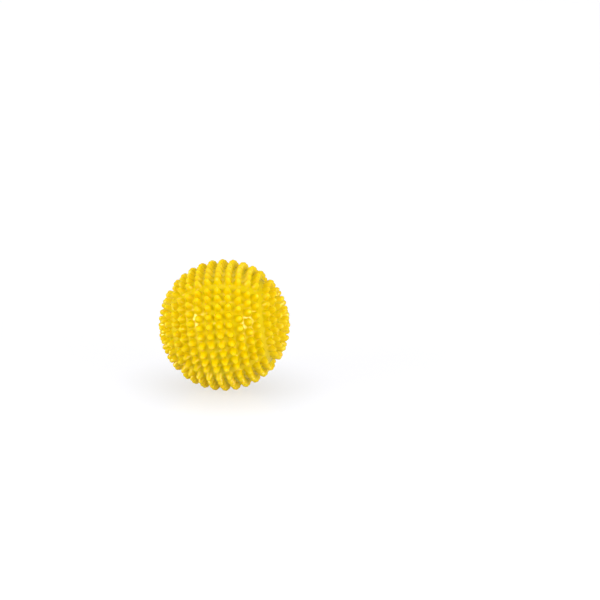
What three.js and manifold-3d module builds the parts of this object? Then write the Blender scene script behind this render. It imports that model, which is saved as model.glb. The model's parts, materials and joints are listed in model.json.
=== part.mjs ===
// Spiky massage ball of hard plastic: two half shells, moulded alike and joined at the equator,
// with small disc magnets in pockets inside them.
// Millimetres, +Z up. The origin is the ball's centre, +X is the polar axis of both shells, and
// the joint is the plane x = 0.
import * as THREE from 'three';
import { ConvexHull } from 'three/addons/math/ConvexHull.js';
import { mergeVertices } from 'three/addons/utils/BufferGeometryUtils.js';
import Module from 'manifold-3d';

// Ball and spikes
const TIP_DIAMETER = 55; // over two opposite spike tips
const SPIKE_HEIGHT = 2.8;
const FOOT_RADIUS = 1.6;
const TIP_RADIUS = 0.8; // of the small flat on a spike's end
const SPIKE_SIDES = 5;
const WALL = 2.2; // between the spikes
const JOINT_GAP = 0.06; // the glue line between the two rims
const RIM_SIDES = 72;
const CAVITY_SIDES = 24;
const BASE_RADIUS = TIP_DIAMETER / 2 - SPIKE_HEIGHT;
const CAVITY_RADIUS = BASE_RADIUS - WALL;

// Spike rows lie on circles round the polar axis, with one spike on each pole
const QUARTER = Math.PI / 2;
const ROWS = 20; // from pole to pole, both pole spikes counted
const ROW_STEP = Math.PI / (ROWS - 1);
// The rows next to the joint are moulded by four side slides. Seen from the joint: spikes in a
// quarter turn, how far the spike next to a slide's seam is pushed off it, and how fast that
// push fades towards the middle of the slide
const SLIDE_ROWS = [
  { spikes: 10, push: THREE.MathUtils.degToRad(1.3), fade: 8 },
  { spikes: 10, push: THREE.MathUtils.degToRad(1.3), fade: 8 },
  { spikes: 9, push: THREE.MathUtils.degToRad(1.6), fade: 2.8 },
  { spikes: 8, push: THREE.MathUtils.degToRad(2.2), fade: 1.6 },
  { spikes: 7, push: THREE.MathUtils.degToRad(2.3), fade: 1.1 },
];
// The rows round the pole are moulded by one round insert: spikes in a full turn
const POLE_ROWS = [24, 18, 12, 6, 1];
// The rows on both sides of the insert's edge are pushed off it, in degrees towards the pole
const ROW_SHIFTS = new Map([
  [3, -0.3],
  [4, -1.5],
  [5, 1.3],
  [6, 0.3],
]);

// The ball lies on four spikes, two on each side of the joint. Their middle is halfway between
// the fourth and the fifth spike from a seam, and this turn about +X brings it to the bottom
const RESTS_AFTER_SPIKE = 4;
const SEAM_TURN = (RESTS_AFTER_SPIKE * QUARTER) / SLIDE_ROWS[0].spikes;

// Disc magnets: one behind each pole and four round it
const MAGNET_RADIUS = 3;
const MAGNET_THICKNESS = 3;
const MAGNET_CLEARANCE = 0.2; // round the magnet
const MAGNET_SIDES = 20;
const SIDE_MAGNETS = 4;
const SIDE_MAGNET_OFFSET = 10; // from the polar axis
const POLE_SEAT = 21.4; // from the joint to the seat that a magnet lies on
const SIDE_SEAT = 17.2;
const SEAT_HOLE_RADIUS = 1.8; // a blind hole in the side seats keeps the wall from sinking
const SEAT_HOLE_END = 19;
const OVERLAP = 1; // of solids that are joined to each other
const BOSS_WALL = 1;
const BOSS_RADIUS = MAGNET_RADIUS + MAGNET_CLEARANCE + BOSS_WALL;
const BOSS_LIP = 0.5; // the boss stands this far past the magnet

// Each rim has two pins and two sockets, halfway between the seams
const PIN_RADIUS = 1;
const PIN_LENGTH = 2.5; // past the joint
const PIN_CLEARANCE = 0.2;
const SOCKET_DEPTH = 3.1;
const PIN_OFFSET = 21.3; // from the polar axis
const PIN_BOSS_RADIUS = 2;
const PIN_BOSS_DEPTH = 7;
const PIN_SIDES = 16;
const PIN_LONGITUDES = [QUARTER / 2, 1.5 * QUARTER];
const SOCKET_LONGITUDES = PIN_LONGITUDES.map((longitude) => -longitude);

const wasm = await Module();
wasm.setup();

// Latitude is measured from the joint towards +X, and longitude about +X from a seam at -Z
function direction(latitude, longitude) {
  const ring = Math.cos(latitude);
  const y = ring * Math.sin(longitude);
  const z = -ring * Math.cos(longitude);
  return new THREE.Vector3(Math.sin(latitude), y, z);
}

function slideRow({ spikes, push, fade }, latitude) {
  const step = QUARTER / spikes;
  const row = [];
  for (let i = 0; i < 4 * spikes; i++) {
    const even = (i + 0.5) * step;
    const pastMiddle = (even % QUARTER) - QUARTER / 2;
    const reach = Math.abs(pastMiddle) / (QUARTER / 2 - step / 2);
    const shift = -Math.sign(pastMiddle) * push * reach ** fade;
    row.push(direction(latitude, even + shift));
  }
  return row;
}

function poleRow(spikes, latitude) {
  const row = [];
  for (let i = 0; i < spikes; i++) {
    row.push(direction(latitude, (i * 2 * Math.PI) / spikes));
  }
  return row;
}

function rowLatitude(row) {
  return (row + 0.5) * ROW_STEP + THREE.MathUtils.degToRad(ROW_SHIFTS.get(row) ?? 0);
}

function spikeDirections() {
  const slides = SLIDE_ROWS.map((row, i) => slideRow(row, rowLatitude(i)));
  const poles = POLE_ROWS.map((count, i) => poleRow(count, rowLatitude(SLIDE_ROWS.length + i)));
  return [...slides, ...poles].flat();
}

// Points on a circle square to an axis, counter-clockwise seen from the axis's far end
function circle(axis, distance, radius, sides) {
  const across = new THREE.Vector3(1, 0, 0).projectOnPlane(axis);
  if (across.length() < radius / TIP_DIAMETER) {
    across.set(0, 0, 1);
  }
  across.setLength(radius);
  const points = [];
  for (let i = 0; i < sides; i++) {
    const spoke = across.clone().applyAxisAngle(axis, (i * 2 * Math.PI) / sides);
    points.push(spoke.addScaledVector(axis, distance));
  }
  return points;
}

function spikeSides(foot, tip) {
  const triangles = [];
  for (let i = 0; i < foot.length; i++) {
    const next = (i + 1) % foot.length;
    triangles.push([foot[i], foot[next], tip[next]], [foot[i], tip[next], tip[i]]);
    if (i > 0 && next > 0) {
      triangles.push([tip[0], tip[i], tip[next]]);
    }
  }
  return triangles;
}

function hullTriangles(points) {
  return new ConvexHull().setFromPoints(points).faces.map((face) => [
    face.getEdge(0).head().point,
    face.getEdge(1).head().point,
    face.getEdge(2).head().point,
  ]);
}

// The outside of a half shell: the hull of all the spikes' feet and the rim, with a spike
// standing on each foot in place of the hull's flat there
function spikySkin() {
  const spikes = spikeDirections();
  const footDistance = Math.sqrt(BASE_RADIUS ** 2 - FOOT_RADIUS ** 2);
  const feet = spikes.map((axis) => circle(axis, footDistance, FOOT_RADIUS, SPIKE_SIDES));
  const footOf = new Map();
  feet.forEach((foot, i) => foot.forEach((point) => footOf.set(point, i)));
  const poleAxis = new THREE.Vector3(1, 0, 0);
  const rim = circle(poleAxis, JOINT_GAP / 2, BASE_RADIUS, RIM_SIDES);

  const between = hullTriangles([...feet.flat(), ...rim]).filter((corners) => {
    const [a, b, c] = corners.map((point) => footOf.get(point));
    return a === undefined || a !== b || b !== c;
  });
  const sides = spikes.flatMap((axis, i) => {
    const tip = circle(axis, TIP_DIAMETER / 2, TIP_RADIUS, SPIKE_SIDES);
    return spikeSides(feet[i], tip);
  });
  return new THREE.BufferGeometry().setFromPoints([...between, ...sides].flat());
}

function solid(geometry) {
  geometry.deleteAttribute('normal');
  geometry.deleteAttribute('uv');
  const merged = mergeVertices(geometry);
  const vertProperties = merged.attributes.position.array;
  const triVerts = new Uint32Array(merged.index.array);
  return new wasm.Manifold(new wasm.Mesh({ numProp: 3, vertProperties, triVerts }));
}

function geometryOf(manifold) {
  const { vertProperties, triVerts } = manifold.getMesh();
  const geometry = new THREE.BufferGeometry();
  geometry.setAttribute('position', new THREE.BufferAttribute(vertProperties, 3));
  geometry.setIndex(new THREE.BufferAttribute(triVerts, 1));
  geometry.computeVertexNormals();
  return geometry;
}

// A round bar along +X between two distances from the joint
function bar(radius, from, to, offset, longitude, sides) {
  const centre = direction(0, longitude).multiplyScalar(offset);
  return new THREE.CylinderGeometry(radius, radius, to - from, sides)
    .rotateZ(-QUARTER)
    .translate((from + to) / 2, centre.y, centre.z);
}

function magnetPlaces() {
  const places = [{ name: 'pole_magnet', seat: POLE_SEAT, offset: 0, longitude: 0 }];
  for (let i = 0; i < SIDE_MAGNETS; i++) {
    places.push({
      name: `side_magnet_${i + 1}`,
      seat: SIDE_SEAT,
      offset: SIDE_MAGNET_OFFSET,
      longitude: (i + 0.5) * QUARTER,
    });
  }
  return places;
}

function magnetBoss({ seat, offset, longitude }) {
  const mouth = seat - MAGNET_THICKNESS - BOSS_LIP;
  const backRadius = offset + BOSS_RADIUS;
  const insideWall = Math.sqrt((BASE_RADIUS - WALL / 2) ** 2 - backRadius ** 2);
  const end = Math.max(insideWall, seat + WALL / 2);
  return solid(bar(BOSS_RADIUS, mouth, end, offset, longitude, MAGNET_SIDES));
}

function magnetPocket({ seat, offset, longitude }) {
  const radius = MAGNET_RADIUS + MAGNET_CLEARANCE;
  return solid(bar(radius, 0, seat, offset, longitude, MAGNET_SIDES));
}

function seatHole({ seat, offset, longitude }) {
  const start = seat - OVERLAP;
  return solid(bar(SEAT_HOLE_RADIUS, start, SEAT_HOLE_END, offset, longitude, PIN_SIDES));
}

function cavity() {
  const sphere = new THREE.SphereGeometry(CAVITY_RADIUS, CAVITY_SIDES, CAVITY_SIDES / 2);
  return solid(sphere.rotateZ(-QUARTER));
}

function halfShell() {
  const rim = JOINT_GAP / 2;
  const places = magnetPlaces();
  const skin = solid(spikySkin());
  let inside = cavity();
  for (const place of places) {
    inside = inside.subtract(magnetBoss(place)).add(magnetPocket(place));
  }
  for (const place of places.filter(({ offset }) => offset > 0)) {
    inside = inside.add(seatHole(place));
  }
  for (const longitude of [...PIN_LONGITUDES, ...SOCKET_LONGITUDES]) {
    inside = inside.subtract(
      solid(bar(PIN_BOSS_RADIUS, -rim, PIN_BOSS_DEPTH, PIN_OFFSET, longitude, PIN_SIDES)),
    );
  }
  for (const longitude of SOCKET_LONGITUDES) {
    const radius = PIN_RADIUS + PIN_CLEARANCE;
    inside = inside.add(solid(bar(radius, -rim, SOCKET_DEPTH, PIN_OFFSET, longitude, PIN_SIDES)));
  }
  let shell = skin.subtract(inside);
  for (const longitude of PIN_LONGITUDES) {
    const pin = bar(PIN_RADIUS, -PIN_LENGTH, OVERLAP, PIN_OFFSET, longitude, PIN_SIDES);
    shell = shell.add(solid(pin));
  }
  return geometryOf(shell);
}

function glossyPlastic() {
  return new THREE.MeshStandardMaterial({ color: 0xf0c400, roughness: 0.22, flatShading: true });
}

function ferrite() {
  return new THREE.MeshStandardMaterial({ color: 0x3c3d40, roughness: 0.55, metalness: 0.4 });
}

function half(side) {
  const group = new THREE.Group();
  const shell = new THREE.Mesh(halfShell(), glossyPlastic());
  shell.name = `${side}_shell`;
  group.add(shell);
  for (const { name, seat, offset, longitude } of magnetPlaces()) {
    const disc = bar(MAGNET_RADIUS, seat - MAGNET_THICKNESS, seat, offset, longitude, MAGNET_SIDES);
    const magnet = new THREE.Mesh(disc, ferrite());
    magnet.name = `${side}_${name}`;
    group.add(magnet);
  }
  return group;
}

// The halves are alike: the left one is the right one turned half a turn about the seam at -Z
const rightHalf = half('right');
const leftHalf = half('left');
leftHalf.rotation.z = Math.PI;

const ball = new THREE.Group();
ball.add(rightHalf, leftHalf);
ball.rotation.x = SEAM_TURN;

export default ball;
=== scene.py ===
"""Spiky massage ball of hard yellow plastic, on a white glossy table top in soft studio light.

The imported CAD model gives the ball's size, its joint plane, the turn of its mould seams and the
inside of its shells. This script moulds the fine outside of the two half shells on it, spike by
spike, and gives every piece its material. Metres, +Z up, +X is the ball's polar axis.
"""
import json
import math

import bmesh
import bpy
import numpy as np
from mathutils import Matrix, Vector

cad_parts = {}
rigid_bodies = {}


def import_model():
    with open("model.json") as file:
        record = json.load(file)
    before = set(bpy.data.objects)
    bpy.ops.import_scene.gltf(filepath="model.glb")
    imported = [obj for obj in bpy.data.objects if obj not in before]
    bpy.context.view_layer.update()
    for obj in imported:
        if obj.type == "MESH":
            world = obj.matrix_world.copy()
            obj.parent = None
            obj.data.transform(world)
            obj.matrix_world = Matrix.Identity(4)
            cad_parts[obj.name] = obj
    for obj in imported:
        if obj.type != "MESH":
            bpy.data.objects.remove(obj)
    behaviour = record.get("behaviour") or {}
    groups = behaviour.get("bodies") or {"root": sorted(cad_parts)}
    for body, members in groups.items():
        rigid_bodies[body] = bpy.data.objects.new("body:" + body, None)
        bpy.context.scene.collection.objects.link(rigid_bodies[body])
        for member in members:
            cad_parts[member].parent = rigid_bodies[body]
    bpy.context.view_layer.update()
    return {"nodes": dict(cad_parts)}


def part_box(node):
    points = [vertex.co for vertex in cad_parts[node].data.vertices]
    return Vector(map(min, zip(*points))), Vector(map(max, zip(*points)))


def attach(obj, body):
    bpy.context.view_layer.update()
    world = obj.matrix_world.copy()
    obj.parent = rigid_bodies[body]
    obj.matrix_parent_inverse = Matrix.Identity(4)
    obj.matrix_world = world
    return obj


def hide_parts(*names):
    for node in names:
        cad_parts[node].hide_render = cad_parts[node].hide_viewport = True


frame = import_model()

MM = 0.001
QUARTER = math.pi / 2

# Ball and spikes
TIP_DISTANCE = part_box("right_shell")[1].x
SPIKE_HEIGHT = 2.8 * MM
BASE_RADIUS = TIP_DISTANCE - SPIKE_HEIGHT
TIP_ROUND = 1.1 * MM  # radius of a spike's round end
SPIKE_ANGLE = math.radians(17)  # of a spike's side to its axis
FILLET = 0.45 * MM  # radius of the hollow round a spike's foot
FOOT_ANGLE = math.radians(72)  # of the spike's side to its axis where the hollow ends
FOOT_SINK = 0.06 * MM  # the hollow ends this far under the ball's surface
ROOT = 1.0 * MM  # how far a spike goes on down into the ball
RIM = 0.03 * MM  # half of the glue line between the shells
SKIN_RIM = 0.003 * MM  # half of the joint line on the outside
PAST_JOINT = 0.1  # how far the ball goes on past the joint before it is cut there, in radians

# Rows of spikes, from the joint to the pole, as the CAD model has them. The slides' rows have
# their spikes in a quarter, the push off the quarter's borders in degrees, and how it fades.
ROWS = 20
ROW_STEP = math.pi / (ROWS - 1)
SLIDES = 4
SLIDE_ROWS = [(10, 1.3, 8), (10, 1.3, 8), (9, 1.6, 2.8), (8, 2.2, 1.6), (7, 2.3, 1.1)]
POLE_ROWS = [24, 18, 12, 6, 1]
ROW_SHIFTS = {3: -0.3, 4: -1.5, 5: 1.3, 6: 0.3}  # degrees, off the edge of the pole insert

# Fineness of the moulded skin
DOME_RINGS = 6
FILLET_RINGS = 4
SPIKE_SIDES = 28
BALL_RINGS = 70
BALL_SIDES = 240

# Tolerances
WELD = 0.001 * MM  # points of a CAD mesh that are nearer than this are one
CUT_WELD = 0.0001 * MM  # points nearer than this to the cut at the joint are on it
RIM_PLAY = 0.002 * MM  # of the points of the CAD shell's rim off its plane
SKIN_PLAY = 0.2 * MM  # of the points of the CAD shell's skin under the ball's surface
CREASE = math.radians(30)  # edges that turn more than this stay sharp

# Resting attitude: the ball lies one row of spikes over from level, which the table and the
# camera take up instead of it
FLOOR_TILT = ROW_STEP
CAMERA_AZIMUTH = math.radians(6.0)
CAMERA_ELEVATION = math.radians(15)
CAMERA_ROLL = math.radians(1.5)
CAMERA_DISTANCE = 1.206
CAMERA_LENS = 173.6  # millimetres
CAMERA_NEAR = 0.05
CAMERA_FAR = 20
AIM_RIGHT = 31.5 * MM  # from the ball's centre
AIM_UP = 10.4 * MM

# Lights: directions from the ball, as parts to the camera's right, up and back, then the lamps
# with their distance from it and size in metres and power in watts
LEFT_SIDE = (-0.79, 0.2, 0.58)
RIGHT_SIDE = (0.753, 0.084, 0.652)
OVERHEAD = (0, 0.93, -0.25)
SIDE_BOX = {"distance": 0.6, "size": 0.28, "power": 1.5, "colour": (1, 0.95, 0.9)}
SIDE_SHINE = {"distance": 0.59, "size": 0.32, "power": 2.4, "colour": (1, 0.86, 0.72)}
TOP_BOX = {"distance": 1.2, "size": 1.2, "power": 3, "colour": (1, 1, 1)}

# Table top and room
TABLE_HALF = 4.0
FOOT_PAINTED_SHADOW = (0.026, 0.06)  # painted shadow: the table's glow rises between these distances from the ball's centre
FOOT_GLOW = (0.68, 0.79)
FAR_PAINTED_SHADOW = (0.08, 0.4)  # and a little more between these, a broad painted shadow round the ball
FAR_GLOW = (0, 0.055)
GLOW_ON_BALL = 0.65  # share of the glow that lights other things
GLOW_MIRRORED = 0.2  # share of it that reflections show
ROOM_TURN = (-0.5, 0.7)  # the room brightens from behind the ball to the camera's side
ROOM_LIGHT = (0.5, 0.95)
ROOM_MIRRORED = 0.15  # share of the room's light that reflections show


# ---------------------------------------------------------------- layout of the spikes

def direction(latitude, longitude):
    """Latitude from the joint towards +X, longitude about +X from a mould seam at -Z."""
    ring = math.cos(latitude)
    return Vector((math.sin(latitude), ring * math.sin(longitude), -ring * math.cos(longitude)))


def row_latitude(row):
    """Rows are counted from 0, and the joint runs half a step before the first."""
    return (row + 0.5) * ROW_STEP + math.radians(ROW_SHIFTS.get(row, 0))


def slide_row(row, count, push, fade):
    """Axes of one row of the side slides' spikes, all round the ball. They are evenly spaced
    and then pushed back from the quarters' borders, those beside a border by the full push."""
    step = QUARTER / count
    axes = []
    for i in range(SLIDES * count):
        even = (i + 0.5) * step
        past_middle = even % QUARTER - QUARTER / 2
        reach = abs(past_middle) / (QUARTER / 2 - step / 2)
        shift = -math.copysign(math.radians(push) * reach ** fade, past_middle)
        axes.append(direction(row_latitude(row), even + shift))
    return axes


def pole_row(row, count):
    return [direction(row_latitude(row), 2 * math.pi * i / count) for i in range(count)]


def spike_axes():
    axes = []
    for row, layout in enumerate(SLIDE_ROWS):
        axes += slide_row(row, *layout)
    for row, count in enumerate(POLE_ROWS):
        axes += pole_row(len(SLIDE_ROWS) + row, count)
    return axes


# ---------------------------------------------------------------- solids for the outside

def new_mesh(name, points, faces):
    mesh = bpy.data.meshes.new(name)
    mesh.from_pydata([tuple(point) for point in points], [], faces)
    return mesh


def new_object(name, data):
    thing = bpy.data.objects.new(name, data)
    bpy.context.scene.collection.objects.link(thing)
    return thing


def turned_solid(profile, sides):
    """A closed solid turned about +Z from (radius, height) points that run down from its top."""
    angles = [2 * math.pi * i / sides for i in range(sides)]
    points = [(0, 0, profile[0][1])]
    for radius, height in profile[1:-1]:
        points += [(radius * math.cos(a), radius * math.sin(a), height) for a in angles]
    points.append((0, 0, profile[-1][1]))
    rings = [[1 + ring * sides + i for i in range(sides)] for ring in range(len(profile) - 2)]
    faces = [(0, a, b) for a, b in zip(rings[0], rings[0][1:] + rings[0][:1])]
    for upper, lower in zip(rings, rings[1:]):
        turns = [(i, (i + 1) % sides) for i in range(sides)]
        faces += [(upper[i], lower[i], lower[j], upper[j]) for i, j in turns]
    last = len(points) - 1
    faces += [(last, b, a) for a, b in zip(rings[-1], rings[-1][1:] + rings[-1][:1])]
    return new_mesh("turned", points, faces)


def spike_solid():
    """A tapered spike with a round end, its tip at the origin and its axis along +Z."""
    dome_angle = QUARTER - SPIKE_ANGLE
    profile = [(0, 0)]
    for i in range(1, DOME_RINGS + 1):
        a = dome_angle * i / DOME_RINGS
        profile.append((TIP_ROUND * math.sin(a), TIP_ROUND * (math.cos(a) - 1)))
    radius, height = profile[-1]
    drop = FILLET * (math.sin(FOOT_ANGLE) - math.sin(SPIKE_ANGLE))
    start = -SPIKE_HEIGHT - FOOT_SINK + drop
    radius += (height - start) * math.tan(SPIKE_ANGLE)
    for i in range(FILLET_RINGS + 1):
        a = SPIKE_ANGLE + (FOOT_ANGLE - SPIKE_ANGLE) * i / FILLET_RINGS
        out = FILLET * (math.cos(SPIKE_ANGLE) - math.cos(a))
        down = FILLET * (math.sin(a) - math.sin(SPIKE_ANGLE))
        profile.append((radius + out, start - down))
    profile.append((profile[-1][0], profile[-1][1] - ROOT))
    profile.append((0, profile[-1][1]))
    return turned_solid(profile, SPIKE_SIDES)


def half_ball():
    """The smooth ball between the spikes, from a little past the joint to the pole at +X."""
    profile = [(0, BASE_RADIUS)]
    for i in range(1, BALL_RINGS + 1):
        latitude = QUARTER + (-PAST_JOINT - QUARTER) * i / BALL_RINGS
        profile.append((BASE_RADIUS * math.cos(latitude), BASE_RADIUS * math.sin(latitude)))
    profile.append((0, profile[-1][1]))
    mesh = turned_solid(profile, BALL_SIDES)
    mesh.transform(Matrix.Rotation(QUARTER, 4, "Y"))
    return mesh


def joined(mesh, others):
    """The union of a closed mesh with others."""
    tools = bpy.data.collections.new("tools")
    bpy.context.scene.collection.children.link(tools)
    body = new_object("body", mesh)
    for other in others:
        tools.objects.link(bpy.data.objects.new("tool", other))
    join = body.modifiers.new("join", "BOOLEAN")
    join.operand_type = "COLLECTION"
    join.collection = tools
    join.operation = "UNION"
    join.solver = "MANIFOLD"
    shown = bpy.context.evaluated_depsgraph_get()
    result = bpy.data.meshes.new_from_object(body.evaluated_get(shown))
    for piece in [body, *tools.objects]:
        bpy.data.objects.remove(piece)
    bpy.data.collections.remove(tools)
    return result


def half_outside():
    """The solid half towards +X with all its spikes, and the first row of the other half."""
    solid = spike_solid()
    first_row = spike_axes()[:SLIDES * SLIDE_ROWS[0][0]]
    other_half = Matrix.Rotation(math.pi, 3, "Z")
    spikes = []
    for axis in spike_axes() + [other_half @ axis for axis in first_row]:
        spike = solid.copy()
        turn = axis.to_track_quat("Z", "Y").to_matrix().to_4x4()
        spike.transform(Matrix.Translation(axis * TIP_DISTANCE) @ turn)
        spikes.append(spike)
    return joined(half_ball(), spikes)


# ---------------------------------------------------------------- closed half shells

def seam_turn():
    """The turn of the mould seams about +X: the first side magnet sits an eighth past one."""
    lo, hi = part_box("right_side_magnet_1")
    middle = (lo + hi) / 2
    return math.atan2(middle.y, -middle.z) - QUARTER / 2


def keep_faces(mesh, wanted):
    """A bmesh of the mesh with only the faces that are wanted."""
    bm = bmesh.new()
    bm.from_mesh(mesh)
    if not all(edge.is_manifold for edge in bm.edges):
        bmesh.ops.remove_doubles(bm, verts=bm.verts, dist=WELD)
    bmesh.ops.delete(bm, geom=[face for face in bm.faces if not wanted(face)], context="FACES")
    return bm


def on_rim(face):
    return all(abs(vert.co.x - RIM) < RIM_PLAY for vert in face.verts)


def on_skin(face):
    return all(vert.co.length > BASE_RADIUS - SKIN_PLAY for vert in face.verts)


def cad_inside(turn):
    """The cavity, bosses, pins and sockets of the CAD's right shell, turned back so that a
    mould seam is at -Z."""
    bm = keep_faces(frame["nodes"]["right_shell"].data,
                    lambda face: not on_skin(face) and not on_rim(face))
    bmesh.ops.rotate(bm, verts=bm.verts, matrix=Matrix.Rotation(-turn, 3, "X"))
    mesh = bpy.data.meshes.new("half_shell")
    bm.to_mesh(mesh)
    bm.free()
    return mesh


def half_shell_mesh(turn):
    """One closed half shell in its own frame: the fine outside, cut off at the joint, and the
    CAD shell's inside, with the flat rim between them filled in."""
    mesh = cad_inside(turn)
    bm = bmesh.new()
    bm.from_mesh(half_outside())
    bmesh.ops.bisect_plane(bm, geom=[*bm.verts, *bm.edges, *bm.faces], dist=CUT_WELD,
                           plane_co=(SKIN_RIM, 0, 0), plane_no=(1, 0, 0), clear_inner=True)
    bm.from_mesh(mesh)
    rim = [edge for edge in bm.edges if edge.is_boundary]
    bmesh.ops.triangle_fill(bm, edges=rim, use_beauty=True)
    bmesh.ops.recalc_face_normals(bm, faces=bm.faces)
    bm.to_mesh(mesh)
    bm.free()
    mesh.shade_smooth()
    mesh.set_sharp_from_angle(angle=CREASE)
    return mesh


def add_shell(name, node, mesh, placement, material):
    mesh = mesh.copy()
    mesh.name = name
    mesh.transform(placement)
    mesh.materials.append(material)
    shell = new_object(name, mesh)
    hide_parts(node)
    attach(shell, "root")
    return shell


# ---------------------------------------------------------------- materials

class Nodes:
    """A material's or world's node tree, with short calls to add and join nodes."""

    def __init__(self, owner):
        owner.use_nodes = True
        self.tree = owner.node_tree
        self.tree.nodes.clear()

    def add(self, kind, values=None, **settings):
        node = self.tree.nodes.new(kind)
        for name, value in settings.items():
            setattr(node, name, value)
        for name, value in (values or {}).items():
            if isinstance(value, bpy.types.NodeSocket):
                self.tree.links.new(value, node.inputs[name])
            else:
                node.inputs[name].default_value = value
        return node

    def length(self, vector):
        return self.add("ShaderNodeVectorMath", {0: vector}, operation="LENGTH").outputs[1]

    def noise(self, place, scale, detail=3.0):
        values = {"Vector": place, "Scale": scale, "Detail": detail}
        return self.add("ShaderNodeTexNoise", values).outputs[0]

    def ramp(self, value, start, end, low=0.0, high=1.0):
        """Smoothly from low to high as the value goes from start to end."""
        values = {0: value, 1: start, 2: end, 3: low, 4: high}
        return self.add("ShaderNodeMapRange", values, interpolation_type="SMOOTHSTEP").outputs[0]

    def math(self, operation, a, b):
        return self.add("ShaderNodeMath", {0: a, 1: b}, operation=operation).outputs[0]

    def mix(self, factor, a, b):
        node = self.add("ShaderNodeMix", {0: factor, 6: a, 7: b}, data_type="RGBA")
        return node.outputs[2]


def yellow_plastic():
    """Hard glossy plastic: darker between the spikes as painted shade and lighter at the tips
    as painted light, with duller worn tips and a faint ripple.
    """
    material = bpy.data.materials.new("glossy_yellow_plastic")
    nodes = Nodes(material)
    place = nodes.add("ShaderNodeNewGeometry").outputs["Position"]
    rise = nodes.ramp(nodes.length(place), BASE_RADIUS, TIP_DISTANCE)
    mottle = nodes.ramp(nodes.noise(place, scale=160), 0.35, 0.65, low=-0.12, high=0.12)
    # Painted shade and light: the yellow is darker down between the spikes and lighter up at their
    # tips, with a little random tone on top.
    shaded_valley_yellow = (0.74, 0.545, 0.0, 1)
    lit_tip_yellow = (0.83, 0.61, 0.0, 1)
    colour = nodes.mix(nodes.math("ADD", rise, mottle), shaded_valley_yellow, lit_tip_yellow)
    rubbed = nodes.ramp(nodes.noise(place, scale=1400), 0.45, 0.7)
    worn = nodes.math("MULTIPLY", nodes.ramp(rise, 0.9, 1.0), rubbed)
    gloss = nodes.ramp(nodes.noise(place, scale=420), 0.3, 0.7, low=0.04, high=0.09)
    worn_roughness = 0.12
    roughness = nodes.math("ADD", gloss, nodes.math("MULTIPLY", worn, worn_roughness))
    ripple = nodes.noise(place, scale=260, detail=2.0)
    bump = nodes.add("ShaderNodeBump", {"Height": ripple, "Strength": 0.06, "Distance": 0.2 * MM})
    surface = nodes.add("ShaderNodeBsdfPrincipled", {
        "Base Color": colour,
        "Roughness": roughness,
        "IOR": 1.52,
        "Specular Tint": (1, 0.85, 0.5, 1),
        "Subsurface Weight": 0.4,
        "Subsurface Radius": (1.0, 0.5, 0.02),
        "Subsurface Scale": 2.0 * MM,
        "Normal": bump.outputs[0],
    })
    nodes.add("ShaderNodeOutputMaterial", {"Surface": surface.outputs[0]})
    return material


def ferrite():
    """Sintered magnet: dark, matt and finely grained, with paler rubbed patches."""
    material = bpy.data.materials.new("ferrite")
    nodes = Nodes(material)
    place = nodes.add("ShaderNodeNewGeometry").outputs["Position"]
    grain = nodes.noise(place, scale=3500, detail=4.0)
    rubbed = nodes.ramp(nodes.noise(place, scale=500), 0.5, 0.75)
    dark_grey = (0.035, 0.036, 0.04, 1)
    rubbed_grey = (0.11, 0.11, 0.115, 1)
    colour = nodes.mix(rubbed, dark_grey, rubbed_grey)
    bump = nodes.add("ShaderNodeBump", {"Height": grain, "Strength": 0.4, "Distance": 0.05 * MM})
    surface = nodes.add("ShaderNodeBsdfPrincipled", {
        "Base Color": colour,
        "Metallic": 0.35,
        "Roughness": nodes.ramp(grain, 0.3, 0.7, low=0.45, high=0.65),
        "Normal": bump.outputs[0],
    })
    nodes.add("ShaderNodeOutputMaterial", {"Surface": surface.outputs[0]})
    return material


def white_acrylic():
    """Glossy white table top that glows, more for the camera than for the ball and its
    reflections, and glows less round the ball's foot as a painted shadow. From below it is
    clear, so that it never hides the ball."""
    material = bpy.data.materials.new("white_acrylic")
    nodes = Nodes(material)
    geometry = nodes.add("ShaderNodeNewGeometry")
    place = geometry.outputs["Position"]
    from_ball = nodes.length(place)
    # Painted shadow round the ball: the glow is weaker near its foot and a little weaker out to
    # the far field.
    glow = nodes.math("ADD", nodes.ramp(from_ball, *FOOT_PAINTED_SHADOW, *FOOT_GLOW),
                      nodes.ramp(from_ball, *FAR_PAINTED_SHADOW, *FAR_GLOW))
    path = nodes.add("ShaderNodeLightPath")
    share = nodes.ramp(path.outputs["Is Glossy Ray"], 0, 1, GLOW_ON_BALL, GLOW_MIRRORED)
    share = nodes.math("MAXIMUM", path.outputs["Is Camera Ray"], share)
    surface = nodes.add("ShaderNodeBsdfPrincipled", {
        # Painted light: the base is bluish so that the yellow light the ball throws on the table
        # comes out neutral, and the glow is warm to keep the open table white.
        "Base Color": (0.22, 0.25, 0.29, 1),
        "Roughness": nodes.ramp(nodes.noise(place, scale=6), 0.3, 0.7, low=0.2, high=0.26),
        "Specular IOR Level": 0.1,
        "Emission Color": (1, 0.972, 0.965, 1),
        "Emission Strength": nodes.math("MULTIPLY", glow, share),
    })
    clear = nodes.add("ShaderNodeBsdfTransparent")
    mix = nodes.add("ShaderNodeMixShader", {0: geometry.outputs["Backfacing"],
                                            1: surface.outputs[0], 2: clear.outputs[0]})
    nodes.add("ShaderNodeOutputMaterial", {"Surface": mix.outputs[0]})
    return material


# ---------------------------------------------------------------- studio

def stage_turn():
    """The tilt of the table and the camera against the part's own frame."""
    return Matrix.Rotation(FLOOR_TILT, 3, "Y")


def lowest_along(shells, up):
    """The height of the shells' lowest point along the table's up direction."""
    lowest = 0.0
    for shell in shells:
        points = np.empty(len(shell.data.vertices) * 3)
        shell.data.vertices.foreach_get("co", points)
        lowest = min(lowest, (points.reshape(-1, 3) @ np.array(up)).min())
    return lowest


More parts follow.
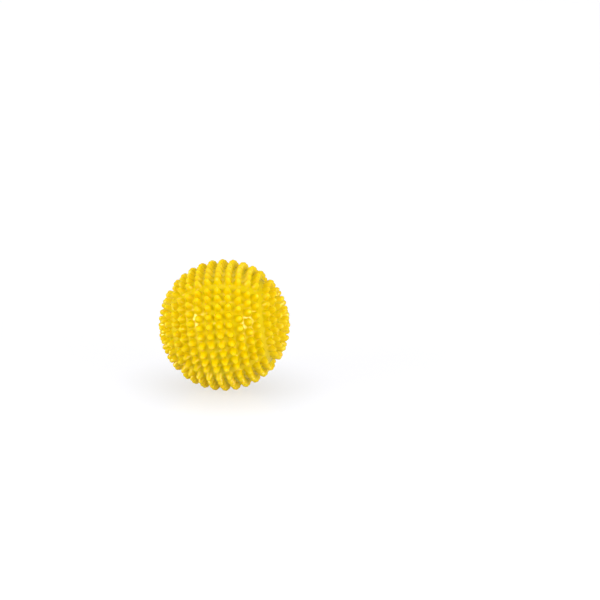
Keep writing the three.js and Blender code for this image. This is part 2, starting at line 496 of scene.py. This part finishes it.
def add_floor(shells):
    """The table top, under the ball's lowest spikes."""
    up = stage_turn() @ Vector((0, 0, 1))
    place = up * lowest_along(shells, up)
    square = [(-1, -1, 0), (1, -1, 0), (1, 1, 0), (-1, 1, 0)]
    corners = [stage_turn() @ (Vector(corner) * TABLE_HALF) + place for corner in square]
    mesh = new_mesh("table_top", corners, [(0, 1, 2, 3)])
    mesh.materials.append(white_acrylic())
    new_object("table_top", mesh)


def camera_axes():
    """The camera's right, up and back directions."""
    level = math.cos(CAMERA_ELEVATION)
    back = stage_turn() @ Vector((
        math.sin(CAMERA_AZIMUTH) * level,
        -math.cos(CAMERA_AZIMUTH) * level,
        math.sin(CAMERA_ELEVATION),
    ))
    right = (stage_turn() @ Vector((0, 0, 1))).cross(back).normalized()
    right = Matrix.Rotation(CAMERA_ROLL, 3, back) @ right
    return right, back.cross(right), back


def add_camera():
    right, up, back = camera_axes()
    data = bpy.data.cameras.new("camera")
    data.lens = CAMERA_LENS
    data.clip_start = CAMERA_NEAR
    data.clip_end = CAMERA_FAR
    camera = new_object("camera", data)
    turn = Matrix((right, up, back)).transposed().to_4x4()
    place = right * AIM_RIGHT + up * AIM_UP + back * CAMERA_DISTANCE
    camera.matrix_world = Matrix.Translation(place) @ turn
    bpy.context.scene.camera = camera


def add_disc_light(name, side, distance, size, power, colour):
    """A round area light that faces the ball."""
    data = bpy.data.lights.new(name, "AREA")
    data.shape = "DISK"
    data.size = size
    data.energy = power
    data.color = colour
    light = new_object(name, data)
    right, up, back = camera_axes()
    toward = (right * side[0] + up * side[1] + back * side[2]).normalized()
    light.location = toward * distance
    light.rotation_mode = "QUATERNION"
    light.rotation_quaternion = toward.to_track_quat("Z", "Y")
    return light


def add_shine(name, side):
    """A warm disc round a softbox that only reflections show: it lights nothing."""
    shine = add_disc_light(name, side, **SIDE_SHINE)
    shine.visible_diffuse = False


def add_lights():
    add_disc_light("left_softbox", LEFT_SIDE, **SIDE_BOX)
    add_disc_light("right_softbox", RIGHT_SIDE, **SIDE_BOX)
    add_shine("left_shine", LEFT_SIDE)
    add_shine("right_shine", RIGHT_SIDE)
    add_disc_light("overhead_softbox", OVERHEAD, **TOP_BOX)


def add_room():
    """White to the camera. Its light is stronger from the camera's side than from behind the
    ball, and weaker in reflections."""
    world = bpy.data.worlds.new("studio")
    bpy.context.scene.world = world
    nodes = Nodes(world)
    white = (1, 1, 1, 1)
    back = camera_axes()[2]
    ray = nodes.add("ShaderNodeTexCoord").outputs["Generated"]
    facing = nodes.add("ShaderNodeVectorMath", {0: ray, 1: back}, operation="DOT_PRODUCT")
    light = nodes.ramp(facing.outputs[1], *ROOM_TURN, *ROOM_LIGHT)
    path = nodes.add("ShaderNodeLightPath")
    share = nodes.ramp(path.outputs["Is Glossy Ray"], 0, 1, 1, ROOM_MIRRORED)
    strength = nodes.math("MULTIPLY", light, share)
    room = nodes.add("ShaderNodeBackground", {"Color": white, "Strength": strength})
    backdrop = nodes.add("ShaderNodeBackground", {"Color": white})
    mix = nodes.add("ShaderNodeMixShader", {0: path.outputs["Is Camera Ray"],
                                            1: room.outputs[0], 2: backdrop.outputs[0]})
    nodes.add("ShaderNodeOutputWorld", {"Surface": mix.outputs[0]})


# ---------------------------------------------------------------- the ball

def add_ball():
    """Both fine shells, the left one turned half a turn, and the magnets' material."""
    plastic = yellow_plastic()
    turn = seam_turn()
    mesh = half_shell_mesh(turn)
    right_place = Matrix.Rotation(turn, 4, "X")
    left_place = right_place @ Matrix.Rotation(math.pi, 4, "Z")
    shells = [
        add_shell("right_spiked_shell", "right_shell", mesh, right_place, plastic),
        add_shell("left_spiked_shell", "left_shell", mesh, left_place, plastic),
    ]
    dark = ferrite()
    for name, node in frame["nodes"].items():
        if "magnet" in name:
            node.data.materials.clear()
            node.data.materials.append(dark)
    return shells


shells = add_ball()
add_floor(shells)
add_lights()
add_room()
add_camera()
bpy.context.scene.view_settings.view_transform = "Standard"
